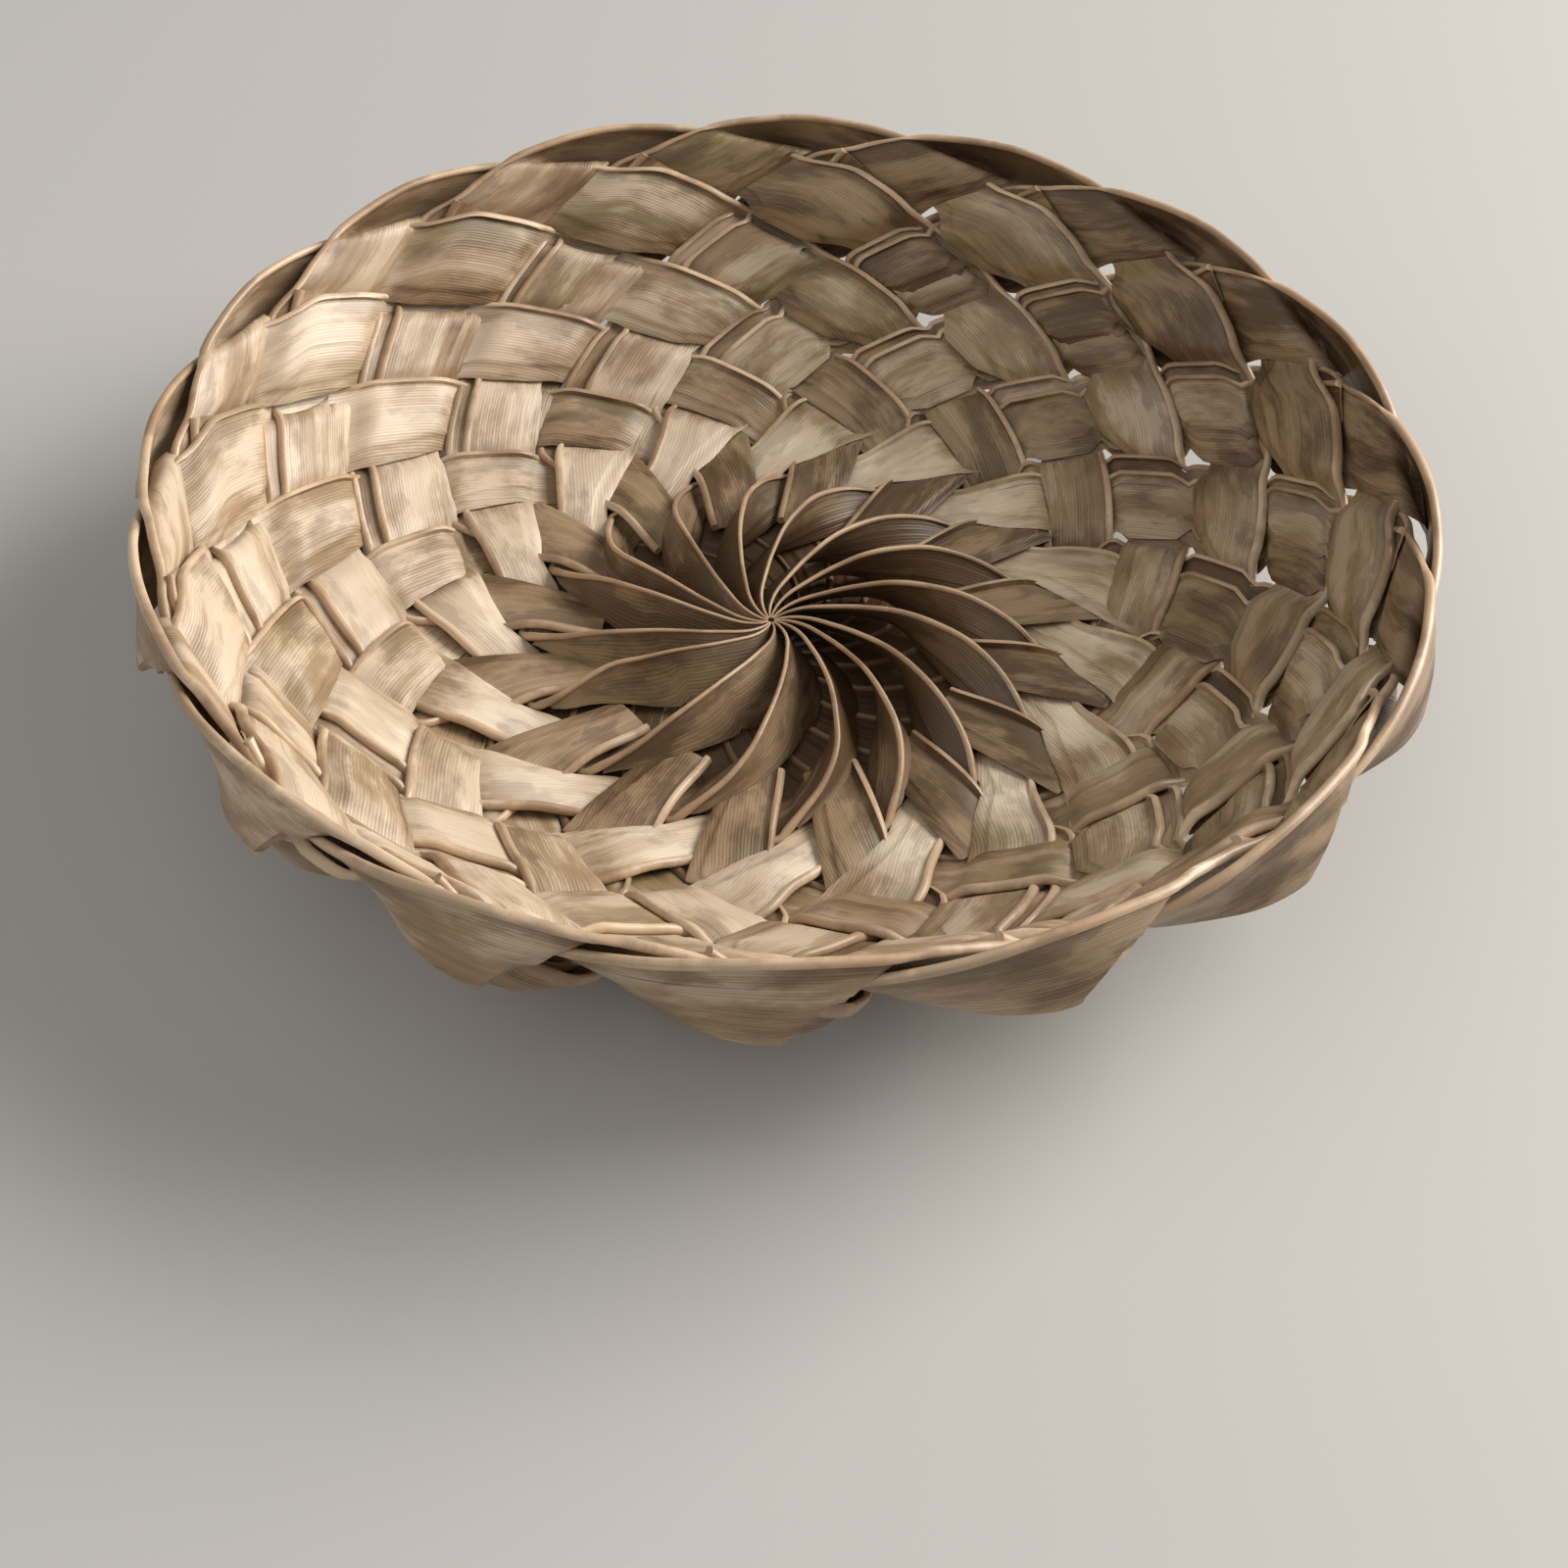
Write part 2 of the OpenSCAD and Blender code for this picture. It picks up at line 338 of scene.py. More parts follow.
@dataclass(frozen=True)
class Weave:
    """How the strips change between their crossings: widths in lattice steps, depths in mm.

    An outward strip dips under every second inward strip, and the dips grow longer towards the
    rim. It hangs out in a belly behind the first inward strip below the rim, and is flatter from
    inner_start on. Strips narrow beside a hole, by the pinches. Holes are widest towards
    open_turn, and the weave is closed on the other side.
    """

    station_step: float = 0.09
    half_strip: float = 0.46
    dip_start: float = 0.50
    dip_stop: float = 0.60
    dip_growth: float = 0.06
    dip_change: float = 0.17
    belly_place: float = -2.06
    belly_reach: float = 0.50
    belly_fade: float = 0.40
    belly_depth: float = 6.5
    inner_start: float = -3.2
    inner_fade: float = 2.6
    inner_flat: float = 0.6
    outward_rib_pinch: float = 0.08
    outward_free_pinch: float = 0.16
    inward_rib_pinch: float = 0.05
    inward_free_pinch: float = 0.25
    inward_extra: float = 0.16
    inward_growth: float = 0.075
    inward_narrowing: float = 0.22
    inward_split: float = 0.49
    inward_change: float = 0.20
    open_turn: float = 100.0
    closed_share: float = 0.2
    open_reach: float = 5.9
    patch_spread: float = 0.2
    patch_sway: float = 0.15

    def outward_side(self, y: float) -> float:
        """Says how an outward strip lies.

        Args:
            y: place along the strip, in lattice steps.

        Returns:
            The strip's side at that place: 1 where it lies over, -1 where it lies under.
        """
        crossed = 2 * math.floor((y + 0.84) / 2)
        near_edge = crossed - self.dip_start
        far_edge = crossed + self.dip_stop + self.dip_growth * (4 + crossed)
        inside = min(y - near_edge, far_edge - y)
        return 1 - 2 * ease(0.5 + 0.5 * inside / self.dip_change)

    def inward_edges(self, x: float, openness: float) -> tuple[float, float]:
        """Finds the edges of an inward strip, wider towards the rim but narrow at its turn.

        Args:
            x: place along the strip, in lattice steps.
            openness: how open the weave is there.

        Returns:
            Lattice lines of its rib and of its free edge.
        """
        past = abs(x - 2 * round(x / 2))
        pinch = ease(1.1 - abs(past - 0.55) / 0.34) * openness
        widening = (self.inward_extra + self.inward_growth * (4 + x)
                    - self.inward_narrowing * ease((x + 1.9) / 0.43))
        rib = self.half_strip + widening - self.inward_rib_pinch * pinch
        free = -self.half_strip + 0.02 + 0.015 * (4 + x) + self.inward_free_pinch * pinch
        return rib, free

    def inward_swell(self, x: float, side: float, puff: float) -> float:
        """Bulge at x of an inward strip whose faces bulge by puff where they lie over."""
        return puff * (side if side > 0 else 0.4 * side) * (0.2 + 0.8 * ease((6.6 + x) / 3))


@dataclass
class Leaf:
    """One leaf of the basket: its stations, and the skin that is drawn over them.

    inner_rib and inner_free move the edges of its outward strip towards the pinwheel. The painted
    light slope says how much lighter the leaves are painted for each metre to the right and to the
    back, and everywhere: painted light on the left and front, painted shade on the right wall.
    The pinwheel, out to heart_radius, sits heart_shift to the left of the middle.
    """

    kind: LeafKind = LeafKind.RIM
    number: int = 1
    bowl: Bowl = field(default_factory=Bowl)
    profile: Profile = field(default_factory=Profile)
    weave: Weave = field(default_factory=Weave)
    spacing: float = 1.9
    inner_rib: float = 0.0
    inner_free: float = 0.0
    # Painted light and shade: the tone rises towards the left and front and falls on the right
    # wall.
    painted_light_slope: Triple = (-1.7, -0.8, -0.03)
    heart_radius: float = 62.0
    heart_shift: float = 3.0
    chance: random.Random = field(init=False, repr=False)
    drift: float = field(init=False)
    slack: float = field(init=False)

    def __post_init__(self) -> None:
        """Seeds this leaf's own irregularities: its noise, and how far its belly hangs."""
        self.chance = random.Random(100 * self.number + (7 if self.kind is LeafKind.RIM else 0))
        self.drift = self.chance.uniform(0, 400)
        self.slack = self.chance.uniform(2.2, 2.9)

    @property
    def turn(self) -> float:
        """Turn of the leaf about the basket's axis, in degrees."""
        return FIRST_TURN + (self.number - 1) * PITCH

    def sway(self, v: float, wander: Wander, size: float) -> float:
        """A slow seeded wander along the leaf."""
        return noise.noise(Vector((v, wander.value * 7.3, self.drift))) * size

    # -- stretches of stations --

    def outward(self, rib: float, free: float, under: float, start: float, stop: float,
                puff: float, tone: float) -> list[Station]:
        """The plaited stretch on which the leaf runs outward.

        Args:
            rib: lattice line of the rib.
            free: lattice line of the free edge.
            under: layer of this leaf where it goes under; it rises one layer where it goes over.
            start: first place along the strip, in lattice steps.
            stop: last place.
            puff: bulge of a face that lies over, in millimetres.
            tone: how light the stretch is.

        Returns:
            Stations a few millimetres apart.
        """
        out: list[Station] = []
        w = self.weave
        count = round((stop - start) / w.station_step)
        for k in range(count + 1):
            y = start + (stop - start) * k / count
            side = w.outward_side(y)
            hang = ease((w.belly_reach - abs(y - w.belly_place)) / w.belly_fade)
            layer = under + 0.5 + 0.5 * side - self.slack * hang
            pinch = (1 - abs(side)) * self.open_at(rib, y)
            inner = ease((w.inner_start - y) / w.inner_fade)
            a = rib + self.inner_rib * inner - w.outward_rib_pinch * pinch
            a += self.sway(y * 0.4, Wander.OUTWARD_RIB, 0.04)
            b = free + self.inner_free * inner + w.outward_free_pinch * pinch
            b += self.sway(y * 0.4, Wander.OUTWARD_FREE, 0.06)
            swell = puff * side * (1 - w.inner_flat * inner) - w.belly_depth * hang
            rise = side if self.kind is LeafKind.RIM else max(0.0, side)
            out.append(Station(self.bowl.knot(a, y, layer), self.bowl.knot(b, y, layer), rise,
                               swell, tone + self.patch(y, Wander.OUTWARD_TONE)))
        return out

    def inward(self, start: float, stop: float, puff: float, tone: float) -> list[Station]:
        """The plaited stretch on which the leaf runs back inward.

        Args:
            start: first place along the strip, in lattice steps.
            stop: last place.
            puff: bulge of a face that lies over, in millimetres.
            tone: how light the stretch is.

        Returns:
            Stations a few millimetres apart.
        """
        out: list[Station] = []
        w = self.weave
        count = round((start - stop) / w.station_step)
        for k in range(count + 1):
            x = start + (stop - start) * k / count
            side = -wave(x, w.inward_split, w.inward_change)
            a, b = w.inward_edges(x, self.open_at(x, 0.0))
            a += self.sway(x * 0.4, Wander.INWARD_RIB, 0.03)
            b += self.sway(x * 0.4, Wander.INWARD_FREE, 0.04)
            out.append(Station(self.bowl.knot(x, a, side), self.bowl.knot(x, b, side), side,
                               w.inward_swell(x, side, puff),
                               tone + self.patch(x, Wander.INWARD_TONE)))
        return out

    def open_at(self, x: float, y: float) -> float:
        """Says how open the weave is: holes show on one side of the basket.

        Args:
            x: lattice line of an outward strip.
            y: lattice line of an inward strip.

        Returns:
            A share from 0, closed, to 1.
        """
        w = self.weave
        turn = self.turn + PITCH * x - self.bowl.outward_turn * (x + y)
        facing = ease(0.5 + math.cos(math.radians(turn - w.open_turn)))
        return (w.closed_share + (1 - w.closed_share) * facing) * ease(w.open_reach + x + y)

    def patch(self, v: float, wander: Wander) -> float:
        """Says how much lighter or darker a face of the weave is than the rest of its leaf.

        Args:
            v: place along the strip, in lattice steps.
            wander: the wander of tone that the strip has.

        Returns:
            What is added to the tone.
        """
        cell = math.floor(v + 0.5)
        spread = self.weave.patch_spread
        before, own, after = (
            random.Random(f"{self.drift} {wander.value} {cell + k}").uniform(-spread, spread)
            for k in (-1, 0, 1))
        t = v + 0.5 - cell
        tone = own + (before - own) * ease(0.5 - 4 * t) + (after - own) * ease(4 * t - 3.5)
        return tone + self.sway(v * 0.9, wander, self.weave.patch_sway)

    def ringed(self, rib: Row, free: Row, side: float, puff: float, tone: float) -> Station:
        """A station given by turn, ring and layer of its rib and of its free edge."""
        return Station(self.bowl.on_ring(*rib), self.bowl.on_ring(*free), side, puff, tone)

    # -- the skin --

    def rows(self) -> np.ndarray:
        """Smooths the leaf's stations.

        Returns:
            The numbers of stations that lie evenly along the leaf.
        """
        knots = np.array([s.numbers() for s in self.stations()])
        mids = (self.bowl.points(knots[:, 0:3]) + self.bowl.points(knots[:, 3:6])) / 2
        ribs = self.bowl.points(knots[:, 0:3])
        steps = np.maximum(np.linalg.norm(np.diff(mids, axis=0), axis=1),
                           0.7 * np.linalg.norm(np.diff(ribs, axis=0), axis=1))
        lengths = np.concatenate([[0.0], np.cumsum(np.maximum(steps, 0.05))])
        return smooth_rows(knots, lengths, self.spacing)

    def skin(self) -> tuple[np.ndarray, np.ndarray, np.ndarray]:
        """Works out the leaf's skin.

        Returns:
            Points (row, column, xyz) in millimetres, the place along and across the leaf of
            each (row, column, 2), and its tone (row, column).
        """
        rows, p = self.rows(), self.profile
        count = len(rows)
        rib, free = self.bowl.points(rows[:, 0:3]), self.bowl.points(rows[:, 3:6])
        foot = self.bowl.points(rows[:, 6:9])
        side, puff, tone, slim = rows[:, 9], rows[:, 10], rows[:, 11], rows[:, 12]
        across = free - rib
        width = np.linalg.norm(across, axis=1, keepdims=True)
        across /= width
        upward = [self.unit(np.cross(across, np.gradient(edge, axis=0))) for edge in (rib, free)]
        margin = np.array([
            p.margin + self.sway(k * self.spacing * 0.02, Wander.MARGIN, p.margin_sway)
            for k in range(count)])
        at = p.section(width[:, 0], margin, side, slim)
        pleats = [noise.noise(Vector((k * 0.9, 3.1, self.drift))) for k in range(p.pleats)]
        along = np.arange(count) * self.spacing + 600.0 * self.number
        points, places, tones = [], [], []
        for stretch, share in p.columns():
            away, height = p.place(stretch, share, at)
            t = away / at.width
            if stretch is not Stretch.RIB:
                fold = np.interp(np.clip(away, 0, p.pleats - 2), range(p.pleats), pleats)
                height = height + p.pleat_depth * fold * np.minimum(1, t * 4)
            height = height + puff * (1 - (2 * t - 1) ** 2)
            up = self.unit(upward[0] * (1 - t)[:, None] + upward[1] * t[:, None])
            column = rib + across * away[:, None] + up * height[:, None]
            if stretch is Stretch.UNDER:
                column += p.gape(share, rib, across, free, foot, at)
            points.append(column)
            places.append(np.stack([along, away], 1))
            tones.append(tone - (0.10 if stretch is Stretch.MARGIN else 0.0))
        return (np.stack(points, 1), np.stack(places, 1), np.stack(tones, 1))

    def unit(self, vectors: np.ndarray) -> np.ndarray:
        """Vectors of length 1 in the directions of the given ones."""
        return vectors / np.linalg.norm(vectors, axis=1, keepdims=True)

    def stations(self) -> list[Station]:
        """The leaf's stations, from one end to the other."""
        raise NotImplementedError

    def build(self, blade: bpy.types.Material, rib: bpy.types.Material) -> bpy.types.Object:
        """Makes the leaf's mesh and dresses it.

        Args:
            blade: material of the blade.
            rib: material of the rib.

        Returns:
            The leaf, riding on the basket's body in place of its CAD node.
        """
        points, places, tones = self.skin()
        mesh = self.sheet(points, places, tones)
        self.close(mesh)
        mesh.materials.append(blade)
        mesh.materials.append(rib)
        piece = bpy.data.objects.new(mesh.name, mesh)
        bpy.context.scene.collection.objects.link(piece)
        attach(piece, "root")
        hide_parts(f"{self.kind.value}_{self.number:02d}")
        log.info("%s: %d faces", piece.name, len(mesh.polygons))
        return piece

    def sheet(self, points: np.ndarray, places: np.ndarray,
              tones: np.ndarray) -> bpy.types.Mesh:
        """Lays a grid over the skin, still open along one column and at both ends.

        Args:
            points: points of the skin (row, column, xyz) in millimetres.
            places: place along and across the leaf of each (row, column, 2).
            tones: tone of each (row, column).

        Returns:
            The mesh, at its place in the basket, with its map, its tones and its rib marked.
        """
        rows, columns = points.shape[0] - 1, points.shape[1] - 1
        bm = bmesh.new()
        bmesh.ops.create_grid(bm, x_segments=columns, y_segments=rows, size=1.0)
        mesh = bpy.data.meshes.new(f"woven_{self.kind.value}_{self.number:02d}")
        bm.to_mesh(mesh)
        bm.free()
        flat = np.zeros(len(mesh.vertices) * 3)
        mesh.vertices.foreach_get("co", flat)
        flat = flat.reshape(-1, 3)
        column = np.rint((flat[:, 0] + 1) / 2 * columns).astype(int)
        row = np.rint((flat[:, 1] + 1) / 2 * rows).astype(int)
        placed = self.settled(points)
        mesh.vertices.foreach_set("co", placed[row, column].ravel())
        corner = np.zeros(len(mesh.loops), int)
        mesh.loops.foreach_get("vertex_index", corner)
        leaf_map = mesh.uv_layers.new(name="leaf")
        leaf_map.data.foreach_set("uv", (places[row, column] * MM)[corner].ravel())
        tone = mesh.attributes.new("tone", "FLOAT", "POINT")
        # Painted light and shade: the tone slopes across the basket, lighter on the left and
        # front, darker on the right wall.
        right, back, all_over = self.painted_light_slope
        tones = tones + right * placed[..., 0] + back * placed[..., 1] + all_over
        tone.data.foreach_set("value", tones[row, column])
        first = np.zeros(len(mesh.polygons), int)
        mesh.polygons.foreach_get("loop_start", first)
        ribbed = np.minimum(column[corner[first]], column[corner[first + 2]])
        on_rib = ribbed < self.profile.ribbed - 1
        mesh.polygons.foreach_set("material_index", on_rib.astype(int))
        mesh.polygons.foreach_set("use_smooth", np.ones(len(mesh.polygons), bool))
        return mesh

    def settled(self, points: np.ndarray) -> np.ndarray:
        """Turns the skin to this leaf's place, and shifts the pinwheel off the middle.

        Args:
            points: points of the skin (row, column, xyz) in millimetres.

        Returns:
            The same points in metres, where they lie in the basket.
        """
        a = math.radians(self.turn)
        turn = np.array([[math.cos(a), math.sin(a), 0], [-math.sin(a), math.cos(a), 0], [0, 0, 1]])
        placed = points @ turn
        r = np.linalg.norm(placed[..., :2], axis=-1)
        placed[..., 0] -= self.heart_shift * np.clip(1 - r / self.heart_radius, 0, 1) ** 1.5
        return placed * MM

    def close(self, mesh: bpy.types.Mesh) -> None:
        """Joins the sheet's long edges, fills its ends and turns its faces outwards.

        Args:
            mesh: the open sheet.
        """
        bm = bmesh.new()
        bm.from_mesh(mesh)
        bmesh.ops.remove_doubles(bm, verts=bm.verts, dist=1e-6)
        bmesh.ops.holes_fill(bm, edges=bm.edges, sides=0)
        bmesh.ops.recalc_face_normals(bm, faces=bm.faces)
        bm.to_mesh(mesh)
        bm.free()
        mesh.set_sharp_from_angle(angle=math.radians(55))


@dataclass
class RimLeaf(Leaf):
    """A leaf that starts under the pinwheel, climbs the wall, turns along the rim and returns."""

    kind: LeafKind = LeafKind.RIM
    flap_flare: float = 13.0

    def over_rim(self, rib: Row, free: Row, puff: float, tone: float) -> Station:
        """A station of the rim turn.

        Args:
            rib: turn, ring and share of the flap's stand-off, at the rib.
            free: the same at the free edge.
            puff: bulge of the blade.
            tone: how light it is.

        Returns:
            The station.
        """
        a = [rib[0], self.bowl.ring_at(rib[1]), -rib[2] * self.flap_flare]
        b = [free[0], self.bowl.ring_at(free[1]), -free[2] * self.flap_flare]
        return Station(a, b, 0.0, puff, tone)

    def stations(self) -> list[Station]:
        """Radial face, doubled strip, rim turn, inward strip and its end under the base.

        Returns:
            The leaf's stations, from one end to the other.
        """
        face = [
            self.ringed([68.1, 10.2, 1], [50.8, 10.2, 1], 1, 0.5, 0.35),
            self.ringed([65.0, 8.4, 1], [50.8, 7.5, 1], 1, 0.5, 0.35),
            self.ringed([64.8, 8.1, 0.1], [51.0, 7.1, 0.1], 0.4, 0.5, 0.38),
            self.ringed([65.2, 7.1, 0], [52.4, 7.05, 0], 0, 0.4, 0.42),
        ]
        b = self.chance.uniform(-0.03, 0.03)
        strip = self.outward(rib=0.50 + b, free=-0.50 + b, under=-1,
                             start=-7 + self.weave.half_strip, stop=-1.40, puff=1.0, tone=0.5)
        d, e = self.chance.uniform(-0.05, 0.05), self.chance.uniform(-0.5, 0.5)
        turn = [
            self.over_rim([14.6, 0.70, 0.00], [3.4, 1.50, 0.00], 0.9, 0.5),
            self.over_rim([12.6, 0.58, 0.00], [1.4, 1.33, 0.00], 0.8, 0.5),
            self.over_rim([11.0, 0.50, 0.005], [-0.8, 1.13, 0.00], 0.5, 0.5),
            self.over_rim([9.9, 0.45, 0.01], [-2.6, 0.95, 0.03], 0.2, 0.5),
            self.over_rim([9.2, 0.42, 0.015], [-3.6, 0.87, 0.22], 0.0, 0.48),
            self.over_rim([8.5, 0.39, 0.02], [-3.4, 0.92, 0.50], -0.6, 0.45),
            self.over_rim([7.6, 0.355, 0.03], [-2.3, 1.10, 0.80], -1.2, 0.44),
            self.over_rim([6.4, 0.32, 0.035], [-1.4 + e, 1.26 + d, 0.98], -1.6, 0.42),
            self.over_rim([3.4, 0.26, 0.05], [-2.6 + e, 1.32 + d, 1.00], -1.5, 0.42),
            self.over_rim([-0.2, 0.21, 0.09], [-5.3, 1.36 + d / 2, 0.94], -1.2, 0.42),
            self.over_rim([-4.0, 0.20, 0.14], [-8.0, 1.45, 0.80], -1.0, 0.42),
            self.over_rim([-7.6, 0.26, 0.19], [-10.2, 1.56, 0.64], -0.9, 0.42),
            self.over_rim([-11.0, 0.345, 0.24], [-12.0, 1.69, 0.50], -0.7, 0.42),
            self.over_rim([-14.2, 0.45, 0.26], [-13.4, 1.81, 0.39], -0.5, 0.42),
            self.over_rim([-17.4, 0.59, 0.26], [-14.5, 1.89, 0.30], -0.3, 0.42),
            self.over_rim([-20.6, 0.77, 0.21], [-15.1, 1.93, 0.22], -0.2, 0.42),
        ]
        back = self.inward(start=-1.47, stop=-6.57, puff=2.3, tone=0.64)
        tail = [self.under_base(x) for x in (-7.5, -8.3, -9.2, -10.1, -11.1, -12.1, -12.9, -13.5)]
        return face + strip + turn + back + tail

    def under_base(self, x: float) -> Station:
        """A station of the inward strip's hidden end, under the base, painted dark as painted
        shade between the fins.
        """
        rib, free = self.bowl.knot(x, 0.50, -0.9), self.bowl.knot(x, -0.52, -1.1)
        # Tone -0.20 is painted shade: the base that shows between the fins is painted dark.
        return Station(rib, free, -0.3, 0.0, -0.20)


@dataclass
class FinLeaf(Leaf):
    """A leaf that stands up as a fin, dips, comes out as a kite and climbs on its partner.

    swings are the angles by which each fin leans out of its even place, in degrees.
    """

    kind: LeafKind = LeafKind.FIN
    inner_rib: float = -0.06
    inner_free: float = -0.32
    swings: tuple[float, ...] = (0.0, 1.0, -1.5, 0.5, 0.2, 2.8, 6.2, -3.4, -1.4, -9.0, -2.0,
                                 2.4, 5.0, 2.4, -1.5, 1.8)

    def upright(self, rib: Row, free: Row, foot: Optional[Row], puff: float,
                slim: float = 1.0) -> Station:
        """A station of the fin.

        Args:
            rib: turn, radius and height of the rib.
            free: the same of the free edge.
            foot: the same of the under fold's edge, where it gapes.
            puff: bulge of the blade.
            slim: how thin the leaf is.

        Returns:
            The station, swung about the axis by this fin's own angle.
        """
        swing = self.swings[self.number - 1]
        a, b, c = ([p[0] + swing * ease((64 - p[1]) / 20), p[1], p[2] - self.bowl.base_mid]
                   for p in (rib, free, foot or free))
        return Station(a, b, 0.2, puff, 0.09, slim, c)

    def stations(self) -> list[Station]:
        """Fin, dip under the next radial face, kite, doubled strip and its cut end.

        Returns:
            The leaf's stations, from one end to the other.
        """
        fin = [
            self.upright([152.0, 0.8, 10.8], [190.0, 2.0, 6.4], None, 0.0, 0.20),
            self.upright([141.0, 4.2, 11.6], [174.0, 6.3, 4.8], None, 0.1, 0.30),
            self.upright([131.5, 8.0, 12.4], [161.0, 11.0, 3.8], None, 0.2, 0.38),
            self.upright([122.0, 12.5, 13.3], [149.5, 16.0, 3.2], None, 0.4, 0.45),
            self.upright([114.0, 20.0, 14.6], [137.0, 22.5, 3.0], None, 0.7, 0.50),
            self.upright([108.5, 28.5, 15.6], [124.5, 29.2, 3.0], None, 1.0, 0.53),
            self.upright([104.5, 36.6, 15.0], [107.0, 34.3, 3.0], [115.0, 36.0, 3.2], 0.6, 0.56),
            self.upright([100.5, 45.5, 12.9], [96.0, 40.0, 3.0], [107.0, 44.0, 4.4], 0.2, 0.60),
            self.upright([96.5, 53.1, 9.6], [91.0, 44.5, 2.8], [101.0, 50.5, 4.6], 0.0, 0.68),
            self.upright([92.8, 58.6, 6.7], [88.6, 48.0, 2.6], [95.0, 57.0, 4.4], 0.0, 0.80),
            self.upright([90.0, 62.3, 4.1], [87.5, 50.3, 2.5], [90.0, 60.0, 3.4], 0.0),
        ]
        dip = [
            self.ringed([88.3, 8.4, 0], [86.5, 9.5, 0], 0, 0, 0.4),
            self.ringed([86.0, 8.38, 0], [83.5, 9.4, 0], 0, 0, 0.5),
            self.ringed([83.0, 8.2, 0], [79.0, 9.2, 0], 0, 0, 0.6),
            self.ringed([77.0, 7.8, 0], [70.2, 8.85, 0], 0, 0.2, 0.95),
            self.ringed([72.6, 7.5, 0.1], [65.0, 8.26, 1.1], 0.3, 0.5, 1.22),
            self.ringed([68.9, 7.02, 1.05], [59.7, 7.87, 1.1], 0.8, 0.6, 1.15),
        ]
        b = self.chance.uniform(-0.07, 0.07)
        strip = self.outward(rib=0.36 + 0.4 * b, free=-0.26 + b, under=0,
                             start=-7 + self.weave.half_strip, stop=-1.44, puff=1.0, tone=0.70)
        strip[-1].free = self.bowl.knot(-0.18, -1.44, 1)
        rib, free = self.bowl.knot(0.40, -1.12, 0.9), self.bowl.knot(0.06, -1.22, 1)
        cut_end = [Station(rib, free, 1, 0.3, 0.5)]
        return fin + dip + strip + cut_end


# ---- Finishes -------------------------------------------------------------------------------


class Recipe:
    """A short way to write the nodes of a finish."""

    def __init__(self, tree: bpy.types.NodeTree) -> None:
        """Starts on an empty tree."""
        self.tree = tree

    def add(self, kind: str, inputs: Optional[dict[Union[int, str], Feed]] = None,
            **settings: object) -> bpy.types.Node:
        """Adds a node.

        Args:
            kind: its type without the ShaderNode prefix.
            inputs: values or sockets for its inputs, by name or number.
            settings: values for its other settings.

        Returns:
            The node.
        """
        node = self.tree.nodes.new("ShaderNode" + kind)
        for name, value in settings.items():
            setattr(node, name, value)
        for name, value in (inputs or {}).items():
            self.put(node.inputs[name], value)
        return node

    def put(self, socket: bpy.types.NodeSocket, value: Feed) -> None:
        """Links a socket to an input, or writes a value in it.

        Args:
            socket: the input.
            value: what it takes: a number, a colour or another node's output.
        """
        if isinstance(value, bpy.types.NodeSocket):
            self.tree.links.new(value, socket)
        else:
            socket.default_value = value

    def maths(self, operation: str, a: Feed, b: Feed = 0.0) -> bpy.types.NodeSocket:
        """A sum on one or two values."""
        return self.add("Math", {0: a, 1: b}, operation=operation).outputs[0]

    def mix(self, share: Feed, a: Feed, b: Feed) -> bpy.types.NodeSocket:
        """A colour between two."""
        node = self.add("Mix", {"Factor": share, 6: a, 7: b}, data_type="RGBA")
        return node.outputs[2]

    def span(self, value: Feed, low: float, high: float, start: float = 0.0,
             stop: float = 1.0) -> bpy.types.NodeSocket:
        """A value mapped smoothly from one span to another."""
        return self.add("MapRange", {0: value, 1: low, 2: high, 3: start, 4: stop},
                        interpolation_type="SMOOTHSTEP").outputs[0]


def node_group(name: str, inputs: dict[str, float], outputs: list[str]) -> tuple[
        bpy.types.NodeTree, Recipe, bpy.types.Node, bpy.types.Node]:
    """Makes an empty node group.

    Args:
        name: the group's name.
        inputs: names and first values of its number inputs.
        outputs: names of its number outputs.

    Returns:
        The group, its recipe, its input node and its output node.
    """
    group = bpy.data.node_groups.new(name, "ShaderNodeTree")
    for key, value in inputs.items():
        made = group.interface.new_socket(key, in_out="INPUT", socket_type="NodeSocketFloat")
        made.default_value = value
    for key in outputs:
        group.interface.new_socket(key, in_out="OUTPUT", socket_type="NodeSocketFloat")
    source, sink = group.nodes.new("NodeGroupInput"), group.nodes.new("NodeGroupOutput")
    return group, Recipe(group), source, sink


